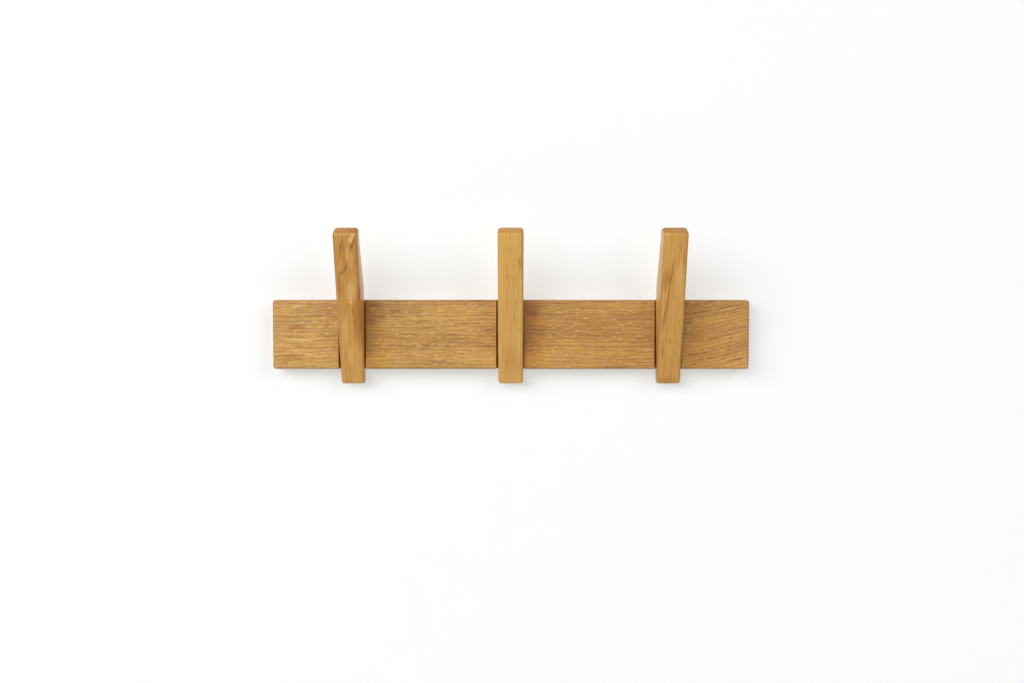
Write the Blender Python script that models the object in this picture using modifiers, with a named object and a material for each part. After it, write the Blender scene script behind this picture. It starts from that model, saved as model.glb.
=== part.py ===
"""Wall coat rack in oiled oak.

A flat rail carries three leaning pegs. Each peg stands in a housing cut across the front of the rail and is
held by two screws driven from behind. Two keyhole plates, let into the back of the rail, hang the rack on
screws in the wall.

Metres and degrees, +Z up. The origin is the middle of the rail's back face, which lies against the wall at
y = 0. The rack stands out from the wall towards -Y, and X runs along the rail.
"""

import math

import bmesh
import bpy
from mathutils import Matrix, Vector

# Rail
RAIL_HEIGHT = 0.0696
RAIL_THICKNESS = 0.022
RAIL_EDGE_RADIUS = 0.002
END_MARGIN = 0.081            # middle of an outer peg to the end of the rail
PEG_PITCH = 0.159             # middle of one peg to the middle of the next
PEG_NAMES = ("left", "centre", "right")

# Housings across the front of the rail
HOUSING_DEPTH = 0.013
SHADOW_GAP = 0.00195          # open gap on each side of a peg

# Pegs
PEG_WIDTH = 0.0248
PEG_LEAN = 22.0               # degrees of the front face from upright
PEG_RISE = 0.072              # corner of the tip above the top of the rail
PEG_DROP = 0.015              # foot below the bottom of the rail
PEG_FRONT_STEP = 0.0015       # front of the peg proud of the rail, at the rail's bottom edge
PEG_EDGE_RADIUS = 0.0026
PEG_FOOT_RADIUS = 0.0034
TIP_THICKNESS = 0.0165
TIP_RADIUS = 0.003
LIP_LENGTH = 0.014            # stretch below the tip where the back runs parallel to the front
LIP_BLEND_RADIUS = 0.020
THROAT_SETOUT = 0.001         # upright root of the throat in front of the rail's face
THROAT_ROOT_HEIGHT = 0.013    # height of that root above the rail
THROAT_RADIUS = 0.025
SHOULDER_RADIUS = 0.003       # where the peg steps back into its housing, at the top of the rail

# Screws from the back of the rail into the pegs
PEG_SCREW_SPACING = 0.032
PEG_SCREW_BITE = 0.0155       # length of the screw inside the peg
PEG_SCREW_DIAMETER = 0.004
PEG_SCREW_HEAD = 0.008
PEG_SCREW_SINK = 0.0005       # head below the back of the rail

# Keyhole plates in the back of the rail
PLATE_LENGTH = 0.048
PLATE_WIDTH = 0.018
PLATE_THICKNESS = 0.002
PLATE_SINK = 0.0004           # plate below the back of the rail
KEYHOLE_ENTRY = 0.0095        # diameter that lets the head of a wall screw in
KEYHOLE_SLOT = 0.0048         # width that holds the shank of a wall screw
KEYHOLE_TRAVEL = 0.009        # middle of the entry to the top seat of the slot
HEAD_ROOM = 0.005             # depth behind the plate for the head of a wall screw
HEAD_MARGIN = 0.0005          # space round that head, beside and above it

# Screws that hold the keyhole plates
PLATE_SCREW_INSET = 0.006     # middle of a screw to the end of its plate
PLATE_SCREW_LENGTH = 0.014
PLATE_SCREW_DIAMETER = 0.0035
PLATE_SCREW_HEAD = 0.0066

# Common to all screws
THREAD_PITCH = 0.0018
THREAD_DEPTH = 0.0005
SCREW_POINT = 0.003
SCREW_RIM = 0.0003            # upright rim round a countersunk head
RECESS_SPAN = 0.0044
RECESS_WIDTH = 0.0011
RECESS_DEPTH = 0.0015

# Fits and mesh fineness
SEAT_GAP = 0.0003             # between pieces that bear on each other
OVERSHOOT = 0.004             # how far a cutter runs past the face it opens
WELD_DISTANCE = 0.00001
ARC_STEP = 12.0               # degrees
CORNER_SHARE = 0.45           # most of a straight stretch that one rounded corner may take
SCREW_SIDES = 12
EDGE_SEGMENTS = 3
SHARP_ANGLE = 35.0            # degrees

# Derived places
RAIL_TOP = RAIL_HEIGHT / 2
RAIL_BOTTOM = -RAIL_HEIGHT / 2
PEG_SPAN = (len(PEG_NAMES) - 1) * PEG_PITCH
RAIL_LENGTH = PEG_SPAN + 2 * END_MARGIN
HOUSING_WIDTH = PEG_WIDTH + 2 * SHADOW_GAP
WEB_THICKNESS = RAIL_THICKNESS - HOUSING_DEPTH
PLATE_X = (PEG_SPAN / 2 + HOUSING_WIDTH / 2 + RAIL_LENGTH / 2) / 2
PLATE_BED = PLATE_SINK + PLATE_THICKNESS
PLATE_SCREW_Z = PLATE_LENGTH / 2 - PLATE_SCREW_INSET

# Turns a flat outline, drawn as (out from the wall, up), so that it stands on edge, square to the wall
SIDE_VIEW = (math.radians(90), 0, math.radians(-90))
# Turns a flat outline, drawn as (along the rail, up), so that it lies against the wall
FRONT_VIEW = (math.radians(90), 0, 0)
# Turns a screw, drawn with its head up, so that its head faces the wall
HEAD_TO_WALL = (math.radians(-90), 0, 0)


def new_collection(name):
    collection = bpy.data.collections.new(name)
    bpy.context.scene.collection.children.link(collection)
    return collection


def new_material(name, colour, roughness, metallic):
    material = bpy.data.materials.new(name)
    material.use_nodes = True
    shader = material.node_tree.nodes["Principled BSDF"]
    shader.inputs["Base Color"].default_value = (*colour, 1)
    shader.inputs["Roughness"].default_value = roughness
    shader.inputs["Metallic"].default_value = metallic
    return material


def arc(centre, radius, start, sweep):
    """Points along an arc, from the start angle through the sweep, both in radians."""
    steps = max(2, math.ceil(abs(sweep) / math.radians(ARC_STEP)))
    angles = [start + sweep * step / steps for step in range(steps + 1)]
    return [centre + radius * Vector((math.cos(angle), math.sin(angle))) for angle in angles]


def rounded_outline(corners):
    """Points of a closed outline whose corners, given as (x, y, radius), are rounded by arcs."""
    points = []
    for index, (x, y, radius) in enumerate(corners):
        here = Vector((x, y))
        before = Vector(corners[index - 1][:2]) - here
        after = Vector(corners[(index + 1) % len(corners)][:2]) - here
        half = before.angle(after) / 2
        reach = min(radius / math.tan(half), CORNER_SHARE * before.length, CORNER_SHARE * after.length)
        radius = reach * math.tan(half)
        start = here + reach * before.normalized()
        centre = here + radius / math.sin(half) * (before.normalized() + after.normalized()).normalized()
        turn = 1 if after.cross(before) > 0 else -1
        spoke = start - centre
        points += arc(centre, radius, math.atan2(spoke.y, spoke.x), turn * (math.pi - 2 * half))
    return points


def capsule_outline(low, high, radius):
    """An upright slot with round ends, centred on x = 0."""
    top = arc(Vector((0, high)), radius, 0, math.pi)
    return top + arc(Vector((0, low)), radius, math.pi, math.pi)


def keyhole_outline(entry, seat):
    """A round entry with a narrower slot running up from it, centred on x = 0."""
    throat = math.asin(KEYHOLE_SLOT / KEYHOLE_ENTRY)
    slot = arc(Vector((0, seat)), KEYHOLE_SLOT / 2, 0, math.pi)
    round_part = arc(Vector((0, entry)), KEYHOLE_ENTRY / 2, math.pi / 2 + throat, 2 * (math.pi - throat))
    return slot + round_part


def cross_outline(span, width):
    """A plus sign, centred on the origin."""
    points = []
    for quarter in range(4):
        turn = Matrix.Rotation(quarter * math.pi / 2, 2)
        for corner in ((span / 2, -width / 2), (span / 2, width / 2), (width / 2, width / 2)):
            points.append(turn @ Vector(corner))
    return points


def baked_mesh(source):
    """The finished mesh of an object, with its seams welded. The object itself is removed."""
    graph = bpy.context.evaluated_depsgraph_get()
    mesh = bpy.data.meshes.new_from_object(source.evaluated_get(graph))
    shape = bmesh.new()
    shape.from_mesh(mesh)
    bmesh.ops.remove_doubles(shape, verts=shape.verts, dist=WELD_DISTANCE)
    shape.to_mesh(mesh)
    shape.free()
    bpy.data.objects.remove(source)
    return mesh


def flat_mesh(name, outlines, thickness):
    """A plate in its own XY plane. The first outline is its edge, and any others are holes through it."""
    curve = bpy.data.curves.new(name, "CURVE")
    curve.dimensions = "2D"
    curve.fill_mode = "BOTH"
    curve.extrude = thickness / 2
    for outline in outlines:
        spline = curve.splines.new("POLY")
        spline.points.add(len(outline) - 1)
        for point, place in zip(spline.points, outline):
            point.co = (place.x, place.y, 0, 1)
        spline.use_cyclic_u = True
    plate = bpy.data.objects.new(name, curve)
    cutters.objects.link(plate)
    return baked_mesh(plate)


def merge_flat_faces(mesh):
    """Joins the triangles of each flat side into one face, so that its rim can be rounded evenly."""
    shape = bmesh.new()
    shape.from_mesh(mesh)
    bmesh.ops.dissolve_limit(shape, angle_limit=math.radians(1), verts=shape.verts, edges=shape.edges)
    shape.to_mesh(mesh)
    shape.free()


def turned_object(name, profile):
    """A closed shape turned round its own Z axis from (radius, height) points, listed from the top down."""
    mesh = bpy.data.meshes.new(name)
    points = [(radius, 0, height) for radius, height in profile]
    links = [(index, index + 1) for index in range(len(points) - 1)]
    mesh.from_pydata(points, links, [])
    turned = bpy.data.objects.new(name, mesh)
    screw = turned.modifiers.new("turn", "SCREW")
    screw.steps = SCREW_SIDES
    screw.render_steps = SCREW_SIDES
    screw.use_merge_vertices = True
    screw.merge_threshold = WELD_DISTANCE
    return turned


def screw_profile(length, diameter, head):
    """Half section of a countersunk wood screw: head, plain neck, ridged thread and point."""
    outer = diameter / 2
    core = outer - THREAD_DEPTH
    neck = SCREW_RIM + head / 2 - core
    turns = int((length - SCREW_POINT - neck) / THREAD_PITCH)
    thread_top = turns * THREAD_PITCH + SCREW_POINT - length
    profile = [(0, 0), (head / 2, 0), (head / 2, -SCREW_RIM), (core, -neck), (core, thread_top)]
    for turn in range(turns):
        root = thread_top - turn * THREAD_PITCH
        profile.append((outer, root - THREAD_PITCH / 2))
        profile.append((core, root - THREAD_PITCH))
    profile.append((0, -length))
    return profile


def screw_hole_profile(length, diameter, head):
    """Half section of the countersunk hole round such a screw, open towards the head."""
    outer = diameter / 2 + SEAT_GAP
    mouth = head / 2 + SEAT_GAP
    # The cone keeps its own slope, so its foot moves down by as much as it is narrower than the mouth.
    rim = SCREW_RIM + SEAT_GAP
    return [
        (0, OVERSHOOT),
        (mouth, OVERSHOOT),
        (mouth, -rim),
        (outer, -rim - (mouth - outer)),
        (outer, -length - SEAT_GAP),
        (0, -length - SEAT_GAP),
    ]


def add_part(name, mesh, material, location=(0, 0, 0), rotation=(0, 0, 0)):
    mesh.shade_smooth()
    mesh.set_sharp_from_angle(angle=math.radians(SHARP_ANGLE))
    mesh.materials.clear()
    mesh.materials.append(material)
    part = bpy.data.objects.new(name, mesh)
    part.location = location
    part.rotation_euler = rotation
    parts.objects.link(part)
    return part


def add_cutter(name, mesh, location=(0, 0, 0), rotation=(0, 0, 0)):
    cutter = bpy.data.objects.new(name, mesh)
    cutter.location = location
    cutter.rotation_euler = rotation
    cutter.hide_render = True
    cutter.display_type = "WIRE"
    cutters.objects.link(cutter)
    return cutter


def round_edges(part, radius):
    bevel = part.modifiers.new("rounded edges", "BEVEL")
    bevel.width = radius
    bevel.segments = EDGE_SEGMENTS
    bevel.limit_method = "ANGLE"
    bevel.angle_limit = math.radians(SHARP_ANGLE)


def cut(part, cutter, solver="EXACT"):
    boolean = part.modifiers.new(cutter.name, "BOOLEAN")
    boolean.operation = "DIFFERENCE"
    boolean.solver = solver
    boolean.object = cutter


def box_mesh(name, size):
    mesh = bpy.data.meshes.new(name)
    shape = bmesh.new()
    bmesh.ops.create_cube(shape, size=1, matrix=Matrix.Diagonal((*size, 1)))
    shape.to_mesh(mesh)
    shape.free()
    return mesh


def peg_outline():
    """Side view of a peg, as (out from the wall, up)."""
    lean = math.radians(PEG_LEAN)
    up_front = Vector((math.sin(lean), math.cos(lean)))
    to_back = Vector((-math.cos(lean), math.sin(lean)))
    foot = RAIL_BOTTOM - PEG_DROP
    seat = WEB_THICKNESS + SEAT_GAP
    root = RAIL_THICKNESS + THROAT_SETOUT

    def front(height):
        return RAIL_THICKNESS + PEG_FRONT_STEP + math.tan(lean) * (height - RAIL_BOTTOM)

    front_top = RAIL_TOP + PEG_RISE - TIP_THICKNESS * math.sin(lean)
    tip_front = Vector((front(front_top), front_top))
    tip_back = tip_front + TIP_THICKNESS * to_back
    lip_end = tip_back - LIP_LENGTH * up_front
    return rounded_outline([
        (seat, foot, PEG_FOOT_RADIUS),
        (front(foot), foot, PEG_FOOT_RADIUS),
        (*tip_front, TIP_RADIUS),
        (*tip_back, TIP_RADIUS),
        (*lip_end, LIP_BLEND_RADIUS),
        (root, RAIL_TOP + THROAT_ROOT_HEIGHT, THROAT_RADIUS),
        (root, RAIL_TOP, SHOULDER_RADIUS),
        (seat, RAIL_TOP, SHOULDER_RADIUS),
    ])


def make_screw_mesh(name, length, diameter, head):
    """A finished screw, with a cross recess in its head."""
    screw = turned_object(name, screw_profile(length, diameter, head))
    cutters.objects.link(screw)
    recess_mesh = flat_mesh(name + "_recess", [cross_outline(RECESS_SPAN, RECESS_WIDTH)], 2 * RECESS_DEPTH)
    recess = add_cutter(name + "_recess", recess_mesh)
    cut(screw, recess)
    mesh = baked_mesh(screw)
    bpy.data.objects.remove(recess)
    return mesh


def make_hole_mesh(name, length, diameter, head):
    hole = turned_object(name, screw_hole_profile(length, diameter, head))
    cutters.objects.link(hole)
    return baked_mesh(hole)


def make_rail():
    size = (RAIL_LENGTH, RAIL_THICKNESS, RAIL_HEIGHT)
    rail = add_part("rail", box_mesh("rail", size), rail_oak, location=(0, -RAIL_THICKNESS / 2, 0))
    round_edges(rail, RAIL_EDGE_RADIUS)
    return rail


def make_pegs(rail):
    """Pegs in their housings, each with two screws through the floor of its housing."""
    peg_mesh = flat_mesh("peg", [peg_outline()], PEG_WIDTH)
    merge_flat_faces(peg_mesh)
    housing_size = (HOUSING_WIDTH, HOUSING_DEPTH + OVERSHOOT, RAIL_HEIGHT + 2 * OVERSHOOT)
    housing_mesh = box_mesh("housing", housing_size)
    housing_y = -WEB_THICKNESS - housing_size[1] / 2
    screw_length = WEB_THICKNESS + PEG_SCREW_BITE - PEG_SCREW_SINK
    screw_sizes = (screw_length, PEG_SCREW_DIAMETER, PEG_SCREW_HEAD)
    screw_mesh = make_screw_mesh("peg_screw", *screw_sizes)
    hole_mesh = make_hole_mesh("peg_screw_hole", *screw_sizes)

    for index, side in enumerate(PEG_NAMES):
        x = index * PEG_PITCH - PEG_SPAN / 2
        peg = add_part(f"peg_{side}", peg_mesh, peg_oak, location=(x, 0, 0), rotation=SIDE_VIEW)
        round_edges(peg, PEG_EDGE_RADIUS)
        cut(rail, add_cutter(f"housing_{side}", housing_mesh, location=(x, housing_y, 0)))
        for level, height in (("upper", PEG_SCREW_SPACING / 2), ("lower", -PEG_SCREW_SPACING / 2)):
            place = {"location": (x, -PEG_SCREW_SINK, height), "rotation": HEAD_TO_WALL}
            add_part(f"peg_screw_{side}_{level}", screw_mesh, zinc_steel, **place)
            hole = add_cutter(f"peg_screw_hole_{side}_{level}", hole_mesh, **place)
            cut(rail, hole)
            cut(peg, hole)


def make_hanger_plates(rail):
    """Keyhole plates let into the back of the rail, each over a pocket for the head of a wall screw."""
    entry = -KEYHOLE_TRAVEL / 2
    seat = KEYHOLE_TRAVEL / 2
    radius = PLATE_WIDTH / 2
    edge = capsule_outline(radius - PLATE_LENGTH / 2, PLATE_LENGTH / 2 - radius, radius)
    plate_mesh = flat_mesh("hanger_plate", [edge, keyhole_outline(entry, seat)], PLATE_THICKNESS)
    plate_y = -PLATE_SINK - PLATE_THICKNESS / 2

    bed = capsule_outline(radius - PLATE_LENGTH / 2, PLATE_LENGTH / 2 - radius, radius + SEAT_GAP)
    bed_depth = PLATE_BED + SEAT_GAP
    bed_mesh = flat_mesh("plate_bed", [bed], bed_depth + OVERSHOOT)
    bed_y = (OVERSHOOT - bed_depth) / 2

    pocket = capsule_outline(entry, seat, KEYHOLE_ENTRY / 2 + HEAD_MARGIN)
    pocket_depth = PLATE_BED + HEAD_ROOM
    pocket_mesh = flat_mesh("head_pocket", [pocket], pocket_depth + OVERSHOOT)
    pocket_y = (OVERSHOOT - pocket_depth) / 2

    screw_sizes = (PLATE_SCREW_LENGTH, PLATE_SCREW_DIAMETER, PLATE_SCREW_HEAD)
    screw_mesh = make_screw_mesh("hanger_screw", *screw_sizes)
    hole_mesh = make_hole_mesh("hanger_screw_hole", *screw_sizes)

    for side, x in (("left", -PLATE_X), ("right", PLATE_X)):
        plate = add_part(f"hanger_plate_{side}", plate_mesh, plate_steel, (x, plate_y, 0), FRONT_VIEW)
        cut(rail, add_cutter(f"plate_bed_{side}", bed_mesh, (x, bed_y, 0), FRONT_VIEW))
        cut(rail, add_cutter(f"head_pocket_{side}", pocket_mesh, (x, pocket_y, 0), FRONT_VIEW))
        for level, height in (("upper", PLATE_SCREW_Z), ("lower", -PLATE_SCREW_Z)):
            place = {"location": (x, -PLATE_SINK - SEAT_GAP, height), "rotation": HEAD_TO_WALL}
            add_part(f"hanger_screw_{side}_{level}", screw_mesh, zinc_steel, **place)
            hole = add_cutter(f"hanger_screw_hole_{side}_{level}", hole_mesh, **place)
            # The mouth of this hole lies just inside the curved end of the bed.
            cut(rail, hole, solver="MANIFOLD")
            cut(plate, hole)


for old in list(bpy.data.objects):
    bpy.data.objects.remove(old)

parts = new_collection("wall_coat_rack")
cutters = new_collection("cutters")
rail_oak = new_material("rail oak", (0.55, 0.31, 0.10), 0.55, 0.0)
peg_oak = new_material("peg oak", (0.60, 0.35, 0.11), 0.50, 0.0)
zinc_steel = new_material("zinc plated steel", (0.60, 0.59, 0.56), 0.35, 1.0)
plate_steel = new_material("plate steel", (0.50, 0.50, 0.50), 0.40, 1.0)

oak_rail = make_rail()
make_pegs(oak_rail)
make_hanger_plates(oak_rail)
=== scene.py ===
import math

import bmesh
import bpy
from mathutils import Matrix, Vector


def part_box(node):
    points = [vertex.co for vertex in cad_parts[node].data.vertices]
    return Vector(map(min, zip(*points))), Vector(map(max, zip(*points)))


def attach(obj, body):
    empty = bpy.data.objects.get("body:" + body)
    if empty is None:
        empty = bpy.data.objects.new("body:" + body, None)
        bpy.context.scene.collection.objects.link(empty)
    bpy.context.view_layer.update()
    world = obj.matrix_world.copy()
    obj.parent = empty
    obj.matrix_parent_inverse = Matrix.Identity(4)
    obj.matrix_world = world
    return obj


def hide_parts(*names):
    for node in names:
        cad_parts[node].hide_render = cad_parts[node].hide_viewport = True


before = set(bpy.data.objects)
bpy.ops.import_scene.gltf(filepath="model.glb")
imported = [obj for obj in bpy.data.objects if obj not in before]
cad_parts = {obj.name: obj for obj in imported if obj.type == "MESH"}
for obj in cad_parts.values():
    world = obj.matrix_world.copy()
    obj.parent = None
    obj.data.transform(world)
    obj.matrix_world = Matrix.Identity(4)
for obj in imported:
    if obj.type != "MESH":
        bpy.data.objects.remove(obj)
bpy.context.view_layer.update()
scene = bpy.context.scene
print("frame loaded,", len(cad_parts), "nodes")

pegSides = ("left", "centre", "right")
plateSides = ("left", "right")
screwLevels = ("upper", "lower")
railLow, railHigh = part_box("rail")

fit = {
    "weld": 0.00001,
    "seatGap": 0.0003,      # between pieces that bear on each other
    "overshoot": 0.004,     # how far a cutter runs past the face it opens
    "crispAngle": 40.0,     # degrees, past this an edge stays crisp in the shading
    "cutAngle": 50.0,       # degrees, past this an outside edge counts as freshly cut
    "slotSides": 48,        # of the rounds at the ends of plates, beds and keyholes
}


# mesh helpers

def settleMesh(bm, name):
    # welds, turns the faces outwards and leaves the piece at the origin
    bmesh.ops.remove_doubles(bm, verts=bm.verts, dist=fit["weld"])
    bmesh.ops.recalc_face_normals(bm, faces=bm.faces)
    mesh = bpy.data.meshes.new(name)
    bm.to_mesh(mesh)
    bm.free()
    piece = bpy.data.objects.new(name, mesh)
    scene.collection.objects.link(piece)
    return piece


def carve(piece, cutters):
    for cutter in cutters:
        cut = piece.modifiers.new(cutter.name, "BOOLEAN")
        cut.operation = "DIFFERENCE"
        cut.solver = "EXACT"
        cut.object = cutter
    graph = bpy.context.evaluated_depsgraph_get()
    carved = bpy.data.meshes.new_from_object(piece.evaluated_get(graph))
    piece.modifiers.clear()
    piece.data = carved


def breakEdges(piece, width, steps):
    # takes the sharpness off every outside edge that a cut has left
    bm = bmesh.new()
    bm.from_mesh(piece.data)
    limit = math.radians(fit["cutAngle"])
    crisp = [edge for edge in bm.edges if edge.is_convex and edge.calc_face_angle(0) > limit]
    bmesh.ops.bevel(bm, geom=crisp, offset=width, offset_type="OFFSET", segments=steps, profile=0.5,
                    affect="EDGES", material=-1, clamp_overlap=True)
    bm.to_mesh(piece.data)
    bm.free()


def hangOnFrame(piece, node, material):
    piece.data.materials.clear()
    piece.data.materials.append(material)
    piece.data.shade_smooth()
    piece.data.set_sharp_from_angle(angle=math.radians(fit["crispAngle"]))
    even = piece.modifiers.new("even shading", "WEIGHTED_NORMAL")
    even.keep_sharp = True
    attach(piece, "root")
    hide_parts(node)


def blockBetween(low, high):
    bm = bmesh.new()
    bmesh.ops.create_cube(bm, size=1)
    bmesh.ops.scale(bm, vec=high - low, verts=bm.verts)
    bmesh.ops.translate(bm, vec=(low + high) / 2, verts=bm.verts)
    return bm


def turnProfile(points, steps, centre):
    # spins (radius, y) points round an axis that stands straight out from the wall
    bm = bmesh.new()
    verts = [bm.verts.new((radius, y, 0)) for radius, y in points]
    edges = [bm.edges.new(pair) for pair in zip(verts, verts[1:])]
    bmesh.ops.spin(bm, geom=verts + edges, cent=(0, 0, 0), axis=(0, 1, 0), angle=math.tau,
                   steps=steps, use_merge=True)
    bmesh.ops.translate(bm, vec=(centre.x, 0, centre.z), verts=bm.verts)
    return bm


def capsuleBetween(x, radius, lowZ, highZ, frontY, backY):
    # upright slot shape whose round ends are centred on lowZ and highZ
    bm = bmesh.new()
    steps = fit["slotSides"]
    stand = Matrix.Rotation(math.pi / 2, 4, "X") @ Matrix.Rotation(math.pi / steps, 4, "Z")
    bmesh.ops.create_cone(bm, cap_ends=True, segments=steps, radius1=radius, radius2=radius, depth=1,
                          matrix=stand)
    upper = [vert for vert in bm.verts if vert.co.z > 0]
    lower = [vert for vert in bm.verts if vert.co.z < 0]
    bmesh.ops.translate(bm, vec=(0, 0, highZ), verts=upper)
    bmesh.ops.translate(bm, vec=(0, 0, lowZ), verts=lower)
    bmesh.ops.scale(bm, vec=(1, backY - frontY, 1), verts=bm.verts)
    bmesh.ops.translate(bm, vec=(x, (frontY + backY) / 2, 0), verts=bm.verts)
    return bm


# node helpers

def tone(red, green, blue):
    # screen colour from 0 to 255, as the linear colour that a shader takes
    shares = [value / 255 for value in (red, green, blue)]
    return tuple(((share + 0.055) / 1.055) ** 2.4 for share in shares) + (1.0,)


def addNode(tree, kind, **settings):
    node = tree.nodes.new("ShaderNode" + kind)
    for name, value in settings.items():
        setattr(node, name, value)
    return node


def feed(tree, socket, value):
    # a socket takes a wire or a plain value
    if isinstance(value, bpy.types.NodeSocket):
        tree.links.new(value, socket)
    else:
        socket.default_value = value


def calc(tree, operation, *values):
    node = addNode(tree, "Math", operation=operation)
    for socket, value in zip(node.inputs, values):
        feed(tree, socket, value)
    return node.outputs[0]


def vecCalc(tree, operation, *values):
    node = addNode(tree, "VectorMath", operation=operation)
    for socket, value in zip(node.inputs, values):
        feed(tree, socket, value)
    plain = operation in ("LENGTH", "DOT_PRODUCT")
    return node.outputs["Value" if plain else "Vector"]


def splitVec(tree, vector):
    node = addNode(tree, "SeparateXYZ")
    feed(tree, node.inputs[0], vector)
    return node.outputs


def joinVec(tree, x, y, z):
    node = addNode(tree, "CombineXYZ")
    for socket, value in zip(node.inputs, (x, y, z)):
        feed(tree, socket, value)
    return node.outputs[0]


def inMillimetres(tree, vector):
    return vecCalc(tree, "MULTIPLY", vector, (1000, 1000, 1000))


def noiseAt(tree, vector, cell, detail=1.0, rough=0.5):
    # cloudy pattern from 0 to 1 with patches of about that cell
    node = addNode(tree, "TexNoise")
    feed(tree, node.inputs["Vector"], vecCalc(tree, "DIVIDE", vector, cell))
    node.inputs["Scale"].default_value = 1.0
    node.inputs["Detail"].default_value = detail
    node.inputs["Roughness"].default_value = rough
    return node.outputs[0]


def spread(tree, value, levels):
    # smooth step from 0 at the low level to 1 at the high one
    node = addNode(tree, "MapRange", interpolation_type="SMOOTHSTEP")
    feed(tree, node.inputs["Value"], value)
    node.inputs["From Min"].default_value, node.inputs["From Max"].default_value = levels
    return node.outputs[0]


def blendColour(tree, share, below, above, mode="MIX"):
    node = addNode(tree, "Mix", data_type="RGBA", blend_type=mode)
    feed(tree, node.inputs[0], share)
    feed(tree, node.inputs[6], below)       # 6, 7 and output 2 are the colour sockets
    feed(tree, node.inputs[7], above)
    return node.outputs[2]


def startGroup(name, inputs, outputs):
    group = bpy.data.node_groups.new(name, "ShaderNodeTree")
    for label, kind in inputs:
        group.interface.new_socket(name=label, in_out="INPUT", socket_type="NodeSocket" + kind)
    for label, kind in outputs:
        group.interface.new_socket(name=label, in_out="OUTPUT", socket_type="NodeSocket" + kind)
    enter = group.nodes.new("NodeGroupInput")
    leave = group.nodes.new("NodeGroupOutput")
    return group, enter.outputs, leave.inputs


def placeGroup(tree, group, values):
    node = addNode(tree, "Group", node_tree=group)
    for label, value in values.items():
        feed(tree, node.inputs[label], value)
    return node.outputs


def startMaterial(name):
    material = bpy.data.materials.new(name)
    material.use_nodes = True
    tree = material.node_tree
    return material, tree, tree.nodes["Principled BSDF"], addNode(tree, "TexCoord")


def addRelief(tree, shader, height, strength, depth):
    relief = addNode(tree, "Bump")
    relief.inputs["Strength"].default_value = strength
    relief.inputs["Distance"].default_value = depth
    feed(tree, relief.inputs["Height"], height)
    feed(tree, shader.inputs["Normal"], relief.outputs[0])


# oak: rings about a pith, pores in the early wood, short ray flecks, slow bands of tone

grainCells = {              # millimetres, the first along the grain
    "sway": (170, 45, 45),
    "ripple": (24, 10, 10),
    "lines": (20, 1.5, 1.5),
    "pores": (9, 0.5, 0.5),
    "flecks": (9, 1.4, 1.4),
    "bands": (150, 17, 17),
    "fibre": (40, 0.8, 0.8),
    "markEdge": (14, 2.2, 2.2),
}

grainLevels = {             # where a pattern starts to show, and where it shows in full
    "early": (0.05, 0.6),   # share of a year's growth
    "lines": (0.5, 0.72),
    "pores": (0.54, 0.68),
    "flecks": (0.56, 0.72),
    "shade": (0.5, 1.0),
    "mark": (0.25, 1.0),    # share of the way from a mark's middle to its end
    "rim": (0.02, 0.2),     # how far an edge has turned from the faces beside it
    "end": (0.35, 0.9),     # how far a face has turned to the end of the grain; starting this early, the end tone also darkens the rounded arris at the tip, painted shade over its highlight
}

grainMake = {
    "ripple": 3.0,          # millimetres
    "yearCell": 3.0,        # rings from wide years to narrow ones
    "yearShift": 1.6,       # rings
    "leastRing": 0.4,       # depth of the faintest ring
    "latePores": 0.3,       # share of the pores that lie outside the early wood
    "fleckSlope": 0.2,
    "markSway": (9, 3.2, 0),  # millimetres, along the grain and across it
}


def makeOakGrain():
    group, enter, leave = startGroup(
        "oak grain",
        [("Vector", "Vector"), ("Ring Width", "Float"), ("Wander", "Float")],
        [(label, "Float") for label in ("Rings", "Lines", "Pores", "Flecks", "Bands", "Fibre")])
    mm = inMillimetres(group, enter["Vector"])
    along, across, deep = splitVec(group, mm)

    sway = calc(group, "SUBTRACT", noiseAt(group, mm, grainCells["sway"]), 0.5)
    ripple = calc(group, "SUBTRACT", noiseAt(group, mm, grainCells["ripple"], detail=2.0), 0.5)
    radius = vecCalc(group, "LENGTH", joinVec(group, 0, across, deep))
    bent = calc(group, "MULTIPLY_ADD", sway, enter["Wander"], radius)
    bent = calc(group, "MULTIPLY_ADD", ripple, grainMake["ripple"], bent)
    turns = calc(group, "DIVIDE", bent, enter["Ring Width"])
    uneven = noiseAt(group, joinVec(group, turns, 0, 0), (grainMake["yearCell"], 1, 1))
    turns = calc(group, "MULTIPLY_ADD", uneven, grainMake["yearShift"], turns)
    phase = calc(group, "FRACT", turns)
    early = calc(group, "SUBTRACT", 1.0, spread(group, phase, grainLevels["early"]))
    yearly = addNode(group, "TexWhiteNoise", noise_dimensions="1D")
    feed(group, yearly.inputs["W"], calc(group, "FLOOR", turns))
    least = grainMake["leastRing"]
    strength = calc(group, "MULTIPLY_ADD", yearly.outputs["Value"], 1 - least, least)
    feed(group, leave["Rings"], calc(group, "MULTIPLY", early, strength))

    lines = noiseAt(group, mm, grainCells["lines"], detail=2.0, rough=0.55)
    feed(group, leave["Lines"], spread(group, lines, grainLevels["lines"]))
    pores = spread(group, noiseAt(group, mm, grainCells["pores"]), grainLevels["pores"])
    late = grainMake["latePores"]
    inEarly = calc(group, "MULTIPLY_ADD", early, 1 - late, late)
    feed(group, leave["Pores"], calc(group, "MULTIPLY", pores, inEarly))

    lift = calc(group, "MULTIPLY", along, -grainMake["fleckSlope"])
    slanted = joinVec(group, along, calc(group, "ADD", across, lift), calc(group, "ADD", deep, lift))
    flecks = noiseAt(group, slanted, grainCells["flecks"])
    feed(group, leave["Flecks"], spread(group, flecks, grainLevels["flecks"]))
    feed(group, leave["Bands"], noiseAt(group, mm, grainCells["bands"], detail=2.0))
    feed(group, leave["Fibre"], noiseAt(group, mm, grainCells["fibre"], detail=3.0, rough=0.6))
    return group


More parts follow.
